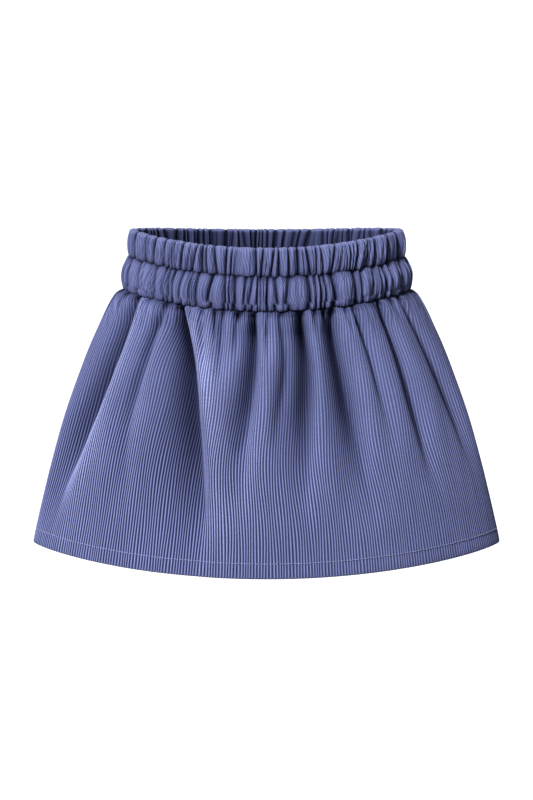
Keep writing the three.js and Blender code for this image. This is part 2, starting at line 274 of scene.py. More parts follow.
class HalfRing:
    """Half a ring at one drop, from the left side seam round the outside to the right one."""

    def __init__(self, rings, drop):
        drops = [row.drop for row in rings]
        self.drop = drop
        self.half_width = float(curve_through(drops, [row.half_width for row in rings], drop))
        ratio = float(curve_through(drops, [row.ratio for row in rings], drop))
        self.across = np.sin(np.pi * (np.linspace(0, 1, RING_STEPS + 1) - 0.5))
        rise = np.maximum(1 - self.across ** 2, 0)
        self.x = self.across * self.half_width
        self.y = -self.half_width * ratio * rise ** (SIDE_POINT / 2)
        steps = np.hypot(np.diff(self.x), np.diff(self.y))
        self.length = steps.sum()
        self.share = np.concatenate([[0], np.cumsum(steps)]) / self.length
        along_x = np.gradient(self.x)
        along_y = np.gradient(self.y)
        along_x[[0, -1]] = 0
        size = np.hypot(along_x, along_y)
        self.out_x = along_y / size
        self.out_y = -along_x / size

    def share_at(self, across):
        return np.interp(across, self.across, self.share)

    def place(self, share, out, lift=0.0):
        """Points a share of the way round, moved out of the ring by some millimetres."""
        across = np.interp(share, self.share, self.across)
        x = np.interp(share, self.share, self.x) + np.interp(share, self.share, self.out_x) * out
        y = np.interp(share, self.share, self.y) + np.interp(share, self.share, self.out_y) * out
        sag = RIM_SAG + (HEM_SAG - RIM_SAG) * self.drop / HEM_DROP
        z = lift - self.drop - sag * (1 - across ** 2)
        return np.stack([x, y, z + 0 * x], axis=-1)


class Gathers:
    """The small gathers of one half: where their valleys lie and how each one differs."""

    def __init__(self, folds, seed):
        self.folds = folds
        chance = np.random.default_rng(seed)
        self.counts = np.cumsum([0] + [fold.gathers for fold in folds] + [LAST_GATHERS])
        self.count = int(self.counts[-1])
        marks = self.count + 1
        self.skirt = uneven_marks(chance, self.counts, GATHER_SPREAD)
        # How deep each valley is, how far down it runs and how far each crest is sunk
        self.depth = chance.uniform(0.3, 1.25, marks)
        self.run = chance.uniform(0.35, 1.5, marks)
        self.crest = chance.uniform(0.0, 0.2, marks)
        # Front and back meet alike at the side seams
        self.depth[[0, -1]] = 0.8
        self.run[[0, -1]] = 1.0
        self.channels = [Channel(chance), Channel(chance)]  # lower, upper

    def knots(self, ring, level):
        """Shares of the long folds' valleys, and the gathers counted up to each."""
        places = [
            curve_through(FOLD_LEVELS, (fold.top, fold.high, fold.middle, fold.low), level)
            for fold in self.folds
        ]
        return np.concatenate([[0], ring.share_at(np.array(places)), [1]])

    def phase(self, ring, level, share, marks):
        """Gathers counted from the left side seam, whole numbers being valleys."""
        valleys = np.interp(marks, self.counts, self.knots(ring, level))
        return np.interp(share, valleys, np.arange(self.count + 1))


class Channel:
    """One channel of half the waistband: its puffs' valleys, crests and small creases."""

    def __init__(self, chance):
        marks = PUFFS + 1
        self.valleys = uneven_marks(chance, (0, PUFFS), PUFF_SPREAD) / PUFFS
        widths = np.diff(self.valleys)
        room = np.concatenate([[0], np.minimum(widths[:-1], widths[1:]), [0]])
        # How far each valley leans and how deep it is, how far each crest is sunk, and its crease
        self.lean = chance.uniform(-0.8, 0.8, marks) * room
        self.depth = chance.choice([1.0, 1.0, 1.0, 0.85, 0.6], marks)
        self.depth[[0, -1]] = 1.0
        self.crest = chance.uniform(0.0, 0.3, marks)
        self.crease = chance.choice([0.0, 0.2, 0.4, 0.6, 0.75], marks)
        self.crease_place = chance.uniform(0.32, 0.68, marks)

    def relief(self, share, drop):
        """The puffs at one drop: 0 in a deep valley and 1 on a full crest."""
        valleys = self.valleys + self.lean * ((drop % GROOVE_DROP) / GROOVE_DROP - 0.5)
        phase = np.interp(share, valleys, np.arange(PUFFS + 1))
        wave = gather_wave(phase, PUFF_ROUNDNESS, PUFF_BOTTOM)
        from_crease = phase % 1 - held(self.crease_place, phase)
        crease = held(self.crease, phase) * bell(from_crease, CREASE_WIDTH)
        return 1 - between(self.depth, phase) * (1 - wave) - (held(self.crest, phase) + crease) * wave


def uneven_marks(chance, ends, spread):
    """Places of valleys between given ends, counted in gathers, with gathers of unlike widths."""
    marks = [0.0]
    for start, end in zip(ends, ends[1:]):
        widths = chance.uniform(1 - spread, 1 + spread, end - start) ** WIDTH_CONTRAST
        marks += list(start + np.cumsum(widths) * (end - start) / widths.sum())
    return np.array(marks)


def gather_wave(phase, roundness, bottom):
    """0 in a gather's valley and 1 on its crest. Bottom softens the floor of the valley."""
    sine = np.sin(np.pi * phase) ** 2
    wave = (sine + bottom ** 2) ** (roundness / 2)
    low = bottom ** roundness
    high = (1 + bottom ** 2) ** (roundness / 2)
    return (wave - low) / (high - low)


def between(values, phase):
    """Values given at each valley, read at a gather phase."""
    return np.interp(phase, np.arange(len(values)), values)


def held(values, phase):
    """Values given for each crest, the same all across its gather."""
    i = np.clip(np.floor(phase).astype(int), 0, len(values) - 2)
    return values[i]


def long_folds(folds, shares, ring, share, level):
    """How far the long folds' valleys lie inside the ring of crests, and which of their walls face the
    light.

    The light side is above 0 on a valley's right wall, which takes a painted highlight, and below 0 on its
    left wall, which takes painted shade.
    """
    calm = side_calm(share, SIDE_CALM)
    growth = FOLD_START + (1 - FOLD_START) * smooth(0, FOLD_GROWTH, level)
    depth = np.zeros_like(share)
    light_side = np.zeros_like(share)
    for fold, place in zip(folds, shares[1:-1]):
        distance = (share - place) * ring.length
        width = fold.width * (FOLD_NARROW + (FOLD_WIDE - FOLD_NARROW) * smooth(*FOLD_WIDENING, level))
        side = 1 + fold.skew * np.sign(distance)
        valley = 1 / (1 + (distance / (width * side)) ** 2) ** 2
        fading = 1 - smooth(*(fold.reach * part for part in FOLD_FADING), level)
        depth += fold.depth * valley * growth * fading * calm
        wall = distance / (width * WALL_LIGHT_WIDTH)
        # The shine runs further down than the shade
        shining = 1 - smooth(*(fold.reach * part for part in SHINE_FADING), level)
        fading = np.where(wall > 0, shining, fading)
        light_side += fold.depth * wall / (1 + wall ** 2) ** 2 * growth * fading * calm
    return depth, light_side


def wrinkles(share, level, seed):
    """Shallow slanting unevenness of worn cloth, calm at the seams and along the hem."""
    chance = np.random.default_rng(seed)
    height = np.zeros_like(share)
    for waves in WRINKLE_WAVES:
        turn, slant = chance.uniform(0, 2 * np.pi), chance.uniform(-WRINKLE_SLANT, WRINKLE_SLANT)
        height += np.sin(2 * np.pi * (waves * share + slant * level) + turn) / waves
    calm = side_calm(share, WRINKLE_CALM) * smooth(*WRINKLE_START, level)
    calm = calm * (1 - smooth(*WRINKLE_END, level))
    return WRINKLE_HEIGHT * height * calm


def crumple(share, drop, seed):
    """Small slanting wrinkles where the cloth is bunched by elastic or a seam, about -1 to 1."""
    chance = np.random.default_rng(seed + 100)
    height = np.zeros_like(share)
    for _ in range(CRUMPLES):
        waves, rise = chance.uniform(*CRUMPLE_WAVES), chance.uniform(-1, 1) * 2 * np.pi / CRUMPLE_DROP
        height += np.sin(2 * np.pi * waves * share + rise * drop + chance.uniform(0, 2 * np.pi))
    return height * side_calm(share, CRUMPLE_CALM) / 3


def side_turn(ring, share):
    """How far the cloth turns in towards its side seams."""
    return SIDE_TURN * bell(np.minimum(share, 1 - share) * ring.length, SIDE_TURN_LENGTH)


def panel_out(gathers, ring, share, level, seed):
    """How far out of the ring a skirt panel's face lies, and its painted light: painted shade above 0 and
    painted highlight below 0.
    """
    folds, light_side = long_folds(gathers.folds, gathers.knots(ring, level), ring, share, level)
    fallen = max(ring.drop - BAND_DROP, 0)
    phase = gathers.phase(ring, level, share, gathers.skirt)
    wave = gather_wave(phase, GATHER_ROUNDNESS, GATHER_BOTTOM)
    run = bell(fallen, GATHER_LENGTH * between(gathers.run, phase))
    valley = between(gathers.depth, phase) * (1 - wave)
    crest = held(gathers.crest, phase) * wave
    small = GATHER_DEPTH * run * (valley + crest)
    turned_in = SEAM_TUCK * bell(fallen, SEAM_TUCK_LENGTH) + side_turn(ring, share)
    # Painted shade in the long folds, the small gathers and just under the waistband
    painted_light = FOLD_SHADE * folds * (1 - FOLD_PALING * level) + GATHER_SHADE * small
    painted_light += SEAM_SHADE * bell(fallen, SEAM_SHADE_LENGTH)
    # Painted highlight on walls turned to the light, weaker towards the right side seam, and painted shade
    # on walls turned away
    shine = WALL_SHINE * np.maximum(light_side, 0) * (1 - WALL_SHINE_DULLING * smooth(*WALL_SHINE_DULLED, share))
    painted_light += WALL_SHADE * np.maximum(-light_side, 0) - shine
    uneven = wrinkles(share, level, seed)
    uneven += PANEL_CRUMPLE * crumple(share, ring.drop, seed) * bell(fallen, GATHER_LENGTH)
    opening = SEAM_HELD + (1 - SEAM_HELD) * smooth(0, SEAM_OPENING, fallen)
    return uneven - opening * (folds + small) - turned_in, np.clip(painted_light, -MOST_SHINE, 1)


def channel_swell(drop):
    """0 where a channel is stitched and 1 at its middle."""
    start, end = (0, GROOVE_DROP) if drop < GROOVE_DROP else (GROOVE_DROP, BAND_DROP)
    t = min(max((drop - start) / (end - start), 0), 1)
    fullness = RIM_FULLNESS if drop < GROOVE_DROP / 2 else SWELL_FULLNESS
    return math.sin(math.pi * t) ** fullness


def band_out(gathers, ring, share, drop, side):
    """How far out of the ring a casing's face lies, its lift and its painted shade and highlight.

    Side is 1 outside, -1 inside and between them on the rim.
    """
    lower, upper = (channel.relief(share, drop) for channel in gathers.channels)
    near_lower = float(smooth(GROOVE_DROP - GROOVE_HALF, GROOVE_DROP + GROOVE_HALF, drop))
    relief = upper + (lower - upper) * near_lower
    swell = channel_swell(drop)
    height = relief * (STITCHED_SHARE + (1 - STITCHED_SHARE) * swell)
    outer_part = (1 + side) / 2
    out = outer_part * (OUTER_PUFF * height + BAND_CRUMPLE * crumple(share, drop, gathers.count))
    out -= (1 - outer_part) * (PINCHED + INNER_PUFF * height)
    out -= side * side_turn(ring, share)
    lift = RIM_SCALLOP * relief * (1 - min(drop / GROOVE_DROP, 1)) ** 2
    lift += GROOVE_JAG * (lower - upper) * bell(drop - GROOVE_DROP, GROOVE_JAG_LENGTH)
    lift -= GROOVE_JAG * lower * bell(drop - BAND_DROP, GROOVE_JAG_LENGTH)
    # Painted shade between the puffs, along the stitching and inside the band, and a painted highlight on
    # the rim
    stitched = 0 if drop < GROOVE_DROP / 2 else (1 - swell) ** 2
    painted_light = VALLEY_SHADE * (1 - relief) ** VALLEY_NARROWING + STITCHED_SHADE * stitched
    painted_light += INSIDE_SHADE * (1 - outer_part) - RIM_SHINE * relief * bell(drop, RIM_RADIUS)
    return out, lift, np.clip(painted_light, -1, 1)


def even_shares(points, count, level=0.0):
    """Shares of an outline that cut it into nearly equal lengths, straying a little as worn ribs do."""
    steps = np.linalg.norm(np.diff(points, axis=0), axis=1)
    length = np.concatenate([[0], np.cumsum(steps)]) / steps.sum()
    share = np.linspace(0, 1, len(points))
    even = np.linspace(0, 1, count + 1)
    stray = sum(
        np.sin(2 * np.pi * (waves * even + slant * level) + turn)
        for waves, slant, turn in RIB_STRAYS
    )
    return np.interp(even + RIB_WANDER * stray * side_calm(even, RIB_CALM), length, share)


def eased(paths, rounds):
    """Paths of ribs, a row of shares at each drop, smoothed down the cloth."""
    paths = np.array(paths)
    for _ in range(rounds):
        padded = np.concatenate([paths[:1], paths, paths[-1:]])
        paths = (padded[:-2] + 2 * padded[1:-1] + padded[2:]) / 4
    return paths


def grid_normals(rows):
    """Outward normals of a grid of points whose rows run left to right and downwards."""
    across = np.gradient(rows, axis=1)
    down = np.gradient(rows, axis=0)
    normals = np.cross(down, across)
    return normals / np.maximum(np.linalg.norm(normals, axis=2, keepdims=True), 1e-9)


Row = namedtuple("Row", "points weave strength")


def cloth_rows(points, drops, painted_light, strength, relief):
    """Rows of wale columns, their ribs raised out of the smooth form by a strength at each point."""
    points = np.asarray(points)
    columns = np.arange(points.shape[1])
    rise = WALE_PROFILE[columns % STEPS_A_WALE] - WALE_PROFILE.mean()
    rise[[0, -1]] = 0
    heights = relief * strength * rise
    raised = points + grid_normals(points) * heights[:, :, None]
    wale = columns / STEPS_A_WALE
    rows = []
    # depth is a row's painted shade and highlight, kept as the weave's third value
    for row, drop, depth, power in zip(raised, drops, painted_light, strength):
        weave = np.stack([wale, np.full_like(wale, drop * MM), depth * np.ones_like(wale)], axis=1)
        rows.append(Row(row, weave, power))
    return rows


def join_rows(upper, lower, start_upper, start_lower):
    """Triangles between two rows, where one may have a whole number of times as many steps."""
    steps_up, steps_low = upper - 1, lower - 1
    faces = []
    if steps_up >= steps_low:
        ratio = steps_up // steps_low
        for i in range(steps_low):
            first = start_upper + i * ratio
            a, b = start_lower + i, start_lower + i + 1
            half = (ratio + 1) // 2
            faces += [(first + k, a, first + k + 1) for k in range(half)]
            faces.append((first + half, a, b))
            faces += [(first + k, b, first + k + 1) for k in range(half, ratio)]
    else:
        for c, b, a in join_rows(lower, upper, start_lower, start_upper):
            faces.append((a, b, c))
    return faces


def close_end(outer, inner, heights):
    """Triangles across a wall's end, between two chains of points that both run downwards."""
    i = j = 0
    faces = []
    while i < len(outer) - 1 or j < len(inner) - 1:
        outer_next = heights[outer[i + 1]] if i < len(outer) - 1 else -math.inf
        inner_next = heights[inner[j + 1]] if j < len(inner) - 1 else -math.inf
        if outer_next >= inner_next:
            faces.append((outer[i], inner[j], outer[i + 1]))
            i += 1
        else:
            faces.append((outer[i], inner[j], inner[j + 1]))
            j += 1
    return faces


def add_object(name, data):
    """A new object in the scene."""
    made = bpy.data.objects.new(name, data)
    bpy.context.scene.collection.objects.link(made)
    return made


def add_attribute(mesh, name, values):
    """A number or a vector at each point of a mesh."""
    kind, key = ("FLOAT", "value") if np.ndim(values) == 1 else ("FLOAT_VECTOR", "vector")
    attribute = mesh.attributes.new(name, kind, "POINT")
    attribute.data.foreach_set(key, np.asarray(values, dtype=np.float32).ravel())


def wall_object(name, loop, turning_row, plain_from, half_turn, materials):
    """A closed wall from a loop of rows: down the outer face, round its edge and up the inner face.

    Rows up to turning_row run down the outside. Rows from plain_from on show the wrong side.
    """
    starts = np.cumsum([0] + [len(row.points) for row in loop])
    places = np.concatenate([row.points for row in loop]) * MM
    faces, slots = [], []
    for i, row in enumerate(loop):
        after = (i + 1) % len(loop)
        strip = join_rows(len(row.points), len(loop[after].points), starts[i], starts[after])
        faces += strip
        slots += [1 if plain_from is not None and i >= plain_from else 0] * len(strip)
    heights = places[:, 2]
    left = [int(start) for start in starts[:-1]]
    right = [int(start + len(row.points) - 1) for start, row in zip(starts, loop)]
    for chain, flip in ((left, False), (right, True)):
        outer, inner = chain[:turning_row], chain[turning_row:][::-1]
        cap = close_end(outer, inner, heights)
        faces += [(a, c, b) for a, b, c in cap] if flip else cap
        slots += [0] * len(cap)
    if half_turn:
        places = places * (-1, -1, 1)
    mesh = bpy.data.meshes.new(name)
    mesh.vertices.add(len(places))
    mesh.vertices.foreach_set("co", places.astype(np.float32).ravel())
    corners = np.array(faces, dtype=np.int32)
    mesh.loops.add(corners.size)
    mesh.loops.foreach_set("vertex_index", corners.ravel())
    mesh.polygons.add(len(corners))
    mesh.polygons.foreach_set("loop_start", np.arange(0, corners.size, 3, dtype=np.int32))
    mesh.polygons.foreach_set("material_index", np.array(slots, dtype=np.int32))
    mesh.update(calc_edges=True)
    mesh.polygons.foreach_set("use_smooth", np.ones(len(corners), dtype=bool))
    add_attribute(mesh, "weave", np.concatenate([row.weave for row in loop]))
    add_attribute(mesh, "rib_strength", np.concatenate([row.strength for row in loop]))
    mesh.validate()
    for material in materials:
        mesh.materials.append(material)
    return add_object(name, mesh)


def panel_drops():
    """Drops of a panel's rows: close under the seam and wider apart towards the hem."""
    drops = [BAND_DROP - SEWN_IN, BAND_DROP]
    step = FIRST_STEP
    while drops[-1] + step < HEM_DROP - 1:
        drops.append(drops[-1] + step)
        step = min(step * STEP_GROWTH, LAST_STEP)
    return drops + [HEM_DROP]


def level_of(drop):
    """Share of the way from the waist seam to the hem."""
    return (min(drop, HEM_DROP) - BAND_DROP) / (HEM_DROP - BAND_DROP)


def rib_strength(drop):
    """How strongly the ribs stand out: weaker under the gathers and over the hem's fold."""
    strength = RIB_STRENGTH_TOP + (1 - RIB_STRENGTH_TOP) * float(smooth(*RIB_GATHERED, level_of(drop)))
    return strength * (1 - (1 - RIB_STRENGTH_HEM) * bell(drop - HEM_DROP, HEM_FOLD_LENGTH))


class RibPaths:
    """Where each step of each rib lies, as a share of the half round, all down one panel."""

    def __init__(self, gathers, wales, seed):
        self.gathers = gathers
        self.seed = seed
        count = math.ceil((HEM_DROP - BAND_DROP) / RIB_PATH_STEP)
        self.drops = np.linspace(BAND_DROP, HEM_DROP, count + 1)
        dense = np.linspace(0, 1, OUTLINE_STEPS + 1)
        paths = []
        for drop in self.drops:
            ring = HalfRing(SKIRT_RINGS, drop)
            out, _ = panel_out(gathers, ring, dense, level_of(drop), seed)
            paths.append(even_shares(ring.place(dense, out), wales * STEPS_A_WALE, level_of(drop)))
        self.paths = eased(paths, RIB_PATH_EASING)

    def grid(self, drops, inset, every=1):
        """Smooth points of rows at these drops, a column for each step of a rib, and their painted shade
        and highlight.
        """
        points, painted_lights = [], []
        for drop in drops:
            at = max(level_of(drop), 0) * (len(self.drops) - 1)
            before = min(int(at), len(self.drops) - 2)
            shares = self.paths[before] + (self.paths[before + 1] - self.paths[before]) * (at - before)
            shares = shares[::every]
            ring = HalfRing(SKIRT_RINGS, min(drop, HEM_DROP))
            out, painted_light = panel_out(self.gathers, ring, shares, level_of(drop), self.seed)
            points.append(ring.place(shares, out - inset))
            painted_lights.append(painted_light)
        return points, painted_lights


def make_panel(name, folds, seed, sizes, half_turn, materials):
    """One skirt panel: ribbed face, hem turned up inside and plain wrong side."""
    cloth = sizes.cloth / MM
    hem = sizes.hem_depth / MM
    wales = sizes.wales
    ribs = RibPaths(Gathers(folds, seed), wales, seed)
    drops = panel_drops()
    # Each grid gives its rows' points and their painted shade and highlight, called depth in the loops
    # below
    face, painted_light = ribs.grid(drops, 0)
    # Round the hem's fold and up the turned-up hem, whose ribs face inwards
    rows, row_drops, row_painted_light = face[:-1], drops[:-1], painted_light[:-1]
    bottom = HEM_DROP - cloth
    for angle in np.radians(range(0, 181, 36)):
        below = cloth * math.sin(angle)
        points, depth = ribs.grid([bottom], cloth * (1 - math.cos(angle)))
        rows.append(points[0] - np.array([0, 0, below]))
        row_drops.append(bottom + below)
        row_painted_light.append(depth[0])
    turned_up = np.linspace(bottom, HEM_DROP - hem, TURNED_UP_ROWS + 1)[1:]
    points, depth = ribs.grid(turned_up, 2 * cloth)
    rows += points
    row_drops += [2 * HEM_DROP - drop for drop in turned_up]
    row_painted_light += depth
    # The ribs stand out less towards the right side seam, in height and in colour
    across = smooth(*RIB_WEAKENING, np.linspace(0, 1, wales * STEPS_A_WALE + 1))
    worn = RIB_STRENGTH_LEFT + (RIB_STRENGTH_RIGHT - RIB_STRENGTH_LEFT) * across
    strength = np.outer([rib_strength(drop) for drop in row_drops], worn)
    outside = cloth_rows(rows, row_drops, row_painted_light, strength, sizes.wale_height / MM)
    # Up the wrong side, from just above the turned-up edge
    inner_drops = [drop for drop in drops if drop < HEM_DROP - hem - 1] + [HEM_DROP - hem]
    inner_drops.reverse()
    wale = np.arange(0, wales * STEPS_A_WALE + 1, INNER_STEP) / STEPS_A_WALE
    plain = [
        Row(points, np.stack([wale, np.full_like(wale, drop * MM), depth], axis=1), np.ones_like(wale))
        for points, depth, drop in zip(*ribs.grid(inner_drops, cloth, INNER_STEP), inner_drops)
    ]
    turning = len(face) + 2
    return wall_object(name, outside + plain, turning, len(outside) - 1, half_turn, materials)


def make_casing(name, folds, seed, sizes, half_turn, materials):
    """Half the waistband: both channels outside, over the rim and down inside."""
    wales = sizes.wales
    gathers = Gathers(folds, seed)
    rim = [(RIM_RADIUS * (1 - math.cos(a)), math.sin(a)) for a in np.radians(range(0, 90, 18))]

    def channel(start, end, count):
        t = 0.5 - 0.5 * np.cos(np.pi * np.arange(1, count + 1) / count)
        return list(start + (end - start) * t)

    face_drops = channel(RIM_RADIUS, GROOVE_DROP, CASING_ROWS[0])
    face_drops += channel(GROOVE_DROP, BAND_DROP, CASING_ROWS[1])
    outer = rim + [(drop, 1) for drop in [RIM_RADIUS] + face_drops]
    inner = [(drop, -side) for drop, side in outer[1:]]
    section = outer + inner[::-1]
    dense = np.linspace(0, 1, OUTLINE_STEPS + 1)
    rings = [HalfRing(BAND_RINGS, drop) for drop, _ in section]
    paths = []
    for ring, (drop, side) in zip(rings, section):
        out, lift, _ = band_out(gathers, ring, dense, drop, side)
        paths.append(even_shares(ring.place(dense, out, lift), wales * STEPS_A_WALE))
    rows, painted_lights, along = [], [], []
    travelled = 0
    for i, (shares, ring, (drop, side)) in enumerate(zip(eased(paths, BAND_PATH_EASING), rings, section)):
        out, lift, painted_light = band_out(gathers, ring, shares, drop, side)
        rows.append(ring.place(shares, out, lift))
        painted_lights.append(painted_light)
        if i:
            travelled += np.linalg.norm(rows[-1] - rows[-2], axis=1).mean()
        along.append(travelled)
    strength = np.full((len(rows), wales * STEPS_A_WALE + 1), RIB_STRENGTH_BAND)
    loop = cloth_rows(rows, along, painted_lights, strength, sizes.wale_height / MM)
    return wall_object(name, loop, len(outer), None, half_turn, materials)


def feed(tree, made, values):
    """Set the input sockets of a node, or link them where the value is another node's output."""
    for socket, value in values.items():
        if isinstance(value, bpy.types.NodeSocket):
            tree.links.new(value, made.inputs[socket])
        else:
            made.inputs[socket].default_value = value


def node(tree, kind, values=None, **settings):
    """A node with its settings and what its input sockets get."""
    made = tree.nodes.new(kind)
    for key, value in settings.items():
        setattr(made, key, value)
    feed(tree, made, values or {})
    return made


def maths(tree, operation, *values):
    """A Math node on links or numbers. Returns its output."""
    return node(tree, "ShaderNodeMath", dict(enumerate(values)), operation=operation).outputs[0]


def mix_colour(tree, factor, first, second, blend="MIX"):
    """A colour mix of two links or colours. Returns its output."""
    values = {"Factor": factor, 6: first, 7: second}
    return node(tree, "ShaderNodeMix", values, data_type="RGBA", blend_type=blend).outputs[2]


def add_group(name, kind, inputs, outputs):
    """A node group. Inputs and outputs map the names of sockets to what they hold."""
    group = bpy.data.node_groups.new(name, kind)
    for way, sockets in (("INPUT", inputs), ("OUTPUT", outputs)):
        for names, holds in sockets.items():
            for socket in names.split():
                group.interface.new_socket(name=socket, in_out=way, socket_type="NodeSocket" + holds)
    return group


def add_material(name):
    """A new material, its nodes and its surface."""
    material = bpy.data.materials.new(name)
    material.use_nodes = True
    return material, material.node_tree, material.node_tree.nodes["Principled BSDF"]


def corduroy_group():
    """Colour, roughness and height of ribbed pile, from the cloth's own coordinates.

    Weave holds the rib number across, metres along the cloth, and the painted light: painted shade above 0
    and painted highlight below 0.
    """
    group = add_group(
        "Corduroy pile", "ShaderNodeTree",
        {"Weave Place": "Vector", "Pile Ground Worn": "Color", "Ribs Streaks Recess Wear": "Float"},
        {"Colour": "Color", "Roughness Height": "Float"})
    add, subtract, multiply, divide, multiply_add, power, maximum, cosine = (
        partial(maths, group, operation) for operation in (
            "ADD", "SUBTRACT", "MULTIPLY", "DIVIDE", "MULTIPLY_ADD", "POWER", "MAXIMUM", "COSINE"))
    given = node(group, "NodeGroupInput").outputs
    across, along, painted_light = node(group, "ShaderNodeSeparateXYZ", {0: given["Weave"]}).outputs
    rib = multiply_add(cosine(multiply(across, 2 * math.pi)), -0.5, 0.5)

    def cloth_noise(ribs, length, detail, shift=0.0):
        """Noise stretched along the ribs: its size is in ribs across and in metres along."""
        where = {"X": divide(across, ribs), "Y": divide(along, length), "Z": shift}
        place = node(group, "ShaderNodeCombineXYZ", where).outputs[0]
        values = {"Vector": place, "Scale": 1.0, "Detail": detail, "Roughness": 0.6}
        return node(group, "ShaderNodeTexNoise", values).outputs["Fac"]

    fuzz = cloth_noise(0.2, 0.00045, 3.0)
    tufts = cloth_noise(0.45, 0.0011, 2.0, 7.0)
    streak = cloth_noise(1.3, 0.045, 2.0, 3.0)
    values = {"Vector": given["Place"], "Scale": 26.0, "Detail": 3.0, "Roughness": 0.55}
    cloud = node(group, "ShaderNodeTexNoise", values).outputs["Fac"]
    crest = power(rib, 2.0)
    # Weak ribs keep the mean colour of strong ones
    ribbed = multiply_add(given["Ribs"], subtract(0.48, crest), 0.52)
    base = mix_colour(group, ribbed, given["Pile"], given["Ground"])
    # Worn crests of the ribs, where the cloth stands out and rubs, made paler still as painted highlight
    # where the painted light shines and less pale under painted shade
    rubbed_and_lit = multiply(multiply(crest, subtract(1.0, painted_light)), multiply_add(tufts, 1.6, -0.3))
    base = mix_colour(group, multiply(rubbed_and_lit, given["Wear"]), base, given["Worn"])
    level = multiply(subtract(streak, 0.5), given["Streaks"])
    level = add(level, multiply_add(cloud, 0.3, -0.15))
    level = add(level, multiply_add(fuzz, 0.8, -0.4))
    # Pile brushed towards the light shines past what rubbing does
    # Painted highlight: where the painted light shines past -1, the colour is lightened further
    painted_highlight = maximum(subtract(-1.0, painted_light), 0.0)
    level = add(level, multiply_add(painted_highlight, 0.2, 1.0))
    grey = node(group, "ShaderNodeCombineXYZ", dict.fromkeys("XYZ", level)).outputs[0]
    base = mix_colour(group, 1.0, base, grey, "MULTIPLY")
    # Painted shade in hollows, which darkens the colour towards a deep blue
    painted_shade_amount = multiply(power(maximum(painted_light, 0.0), 1.4), given["Recess"])
    dark = mix_colour(group, 1.0, base, PAINTED_SHADE_TINT, "MULTIPLY")
    height = multiply_add(crest, 0.35, multiply(fuzz, 0.45))
    node(group, "NodeGroupOutput", {
        "Colour": mix_colour(group, painted_shade_amount, base, dark),
        "Roughness": multiply_add(fuzz, 0.16, 0.8),
        "Height": add(height, multiply(tufts, 0.3)),
    })
    return group


def cloth_material(name, group, colours, values, sheen, bump):
    """A cloth finish from the pile group. Values set the group's named numbers."""
    material, tree, surface = add_material(name)
    strength = node(tree, "ShaderNodeAttribute", attribute_name="rib_strength").outputs["Fac"]
    pile = node(tree, "ShaderNodeGroup", {
        **colours, **values,
        "Ribs": maths(tree, "MULTIPLY", strength, values["Ribs"]),
        "Weave": node(tree, "ShaderNodeAttribute", attribute_name="weave").outputs["Vector"],
        "Place": node(tree, "ShaderNodeTexCoord").outputs["Object"],
    }, node_tree=group).outputs
    relief = node(tree, "ShaderNodeBump", {"Strength": bump, "Distance": 0.0004, "Height": pile["Height"]})
    feed(tree, surface, {
        "Base Color": pile["Colour"], "Roughness": pile["Roughness"], "Normal": relief.outputs["Normal"],
        "Specular IOR Level": 0.1,
        "Sheen Weight": sheen, "Sheen Roughness": 0.35, "Sheen Tint": (0.72, 0.76, 1.0, 1.0),
    })
    return material


def thread_material(colour):
    """Twisted cotton thread."""
    material, tree, surface = add_material("sewing_thread")
    place = node(tree, "ShaderNodeTexCoord").outputs["Object"]
    ply = node(tree, "ShaderNodeTexNoise", {"Vector": place, "Scale": 2600.0, "Detail": 2.0}).outputs["Fac"]
    shade = tuple(0.7 * part for part in colour[:3]) + (1.0,)
    relief = node(tree, "ShaderNodeBump", {"Strength": 0.5, "Distance": 0.0001, "Height": ply})
    feed(tree, surface, {
        "Base Color": mix_colour(tree, ply, shade, colour), "Normal": relief.outputs["Normal"],
        "Roughness": 0.6, "Sheen Weight": 0.2,
    })
    return material


